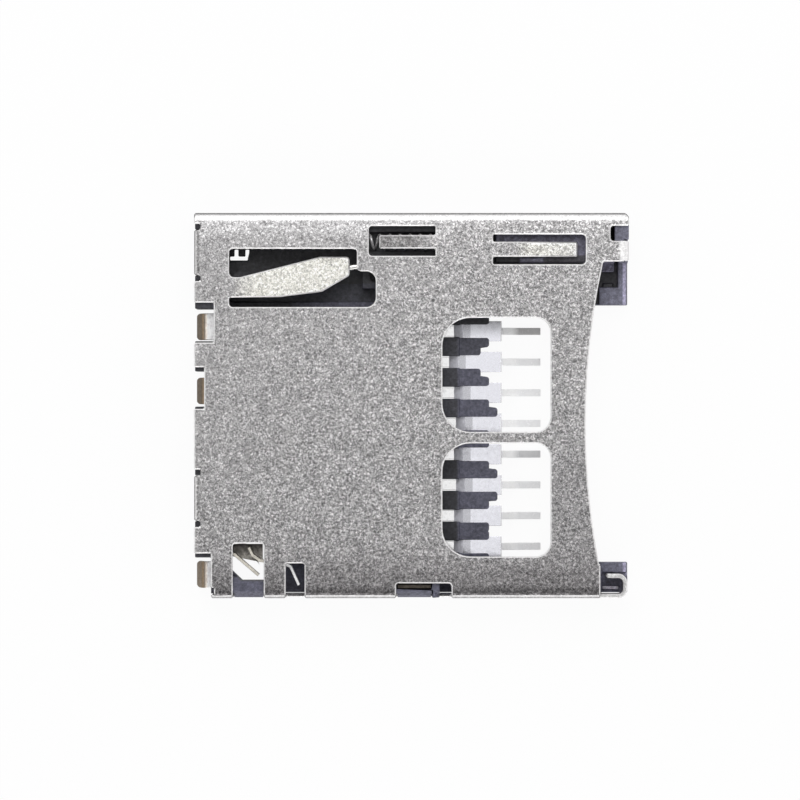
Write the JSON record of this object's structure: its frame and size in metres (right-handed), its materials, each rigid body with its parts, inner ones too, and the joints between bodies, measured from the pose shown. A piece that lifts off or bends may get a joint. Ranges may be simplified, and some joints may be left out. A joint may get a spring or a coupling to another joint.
{
  "type": "memory card connector",
  "caption": "Surface-mount push-push socket for a micro memory card: folded sheet-metal cover over a dark moulding with sprung contacts, slider, spring and cam pin.",
  "frame": {"origin": "centre of the footprint, on the plane of the circuit board that the connector stands on", "axes": "+X out of the card mouth, +Y towards the slider side, +Z away from the board"},
  "size_m": [0.0154, 0.0138, 0.0017],
  "materials": {
    "sheet_steel": "matte plated sheet with fine grain",
    "housing_plastic": "matte moulded",
    "slider_plastic": "matte moulded",
    "spring_steel": "drawn wire",
    "pin_steel": "drawn wire",
    "contact_plating": "satin tin plating",
    "switch_plating": "thin gold plating",
    "tail_plating": "gold plating"
  },
  "bodies": {
    "base": {"cover": "sheet_steel", "housing": "housing_plastic", "contact_1": "contact_plating", "contact_2": "contact_plating", "contact_3": "contact_plating", "contact_4": "contact_plating", "contact_5": "contact_plating", "contact_6": "contact_plating", "contact_7": "contact_plating", "contact_8": "contact_plating", "switch_lever": "switch_plating", "switch_contact": "switch_plating", "rear_nail_1": "tail_plating", "rear_nail_2": "tail_plating", "side_nail": "tail_plating", "eject_spring": "spring_steel"},
    "slider": {"slider": "slider_plastic"},
    "pin": {"cam_pin": "pin_steel"}
  },
  "joints": [
    {"name": "slider_travel", "type": "slide", "parent": "base", "child": "slider", "axis": [-1, 0, 0], "range_m": [0, 0.0034], "stiffness_N_per_m": 150, "deforming": ["eject_spring"]},
    {"name": "cam_pin_swing", "type": "hinge", "parent": "base", "child": "pin", "pos_m": [-0.00609, 0.00438, 0.00116], "axis": [0, 0, 1], "range_deg": [-5.3, 0]}
  ]
}
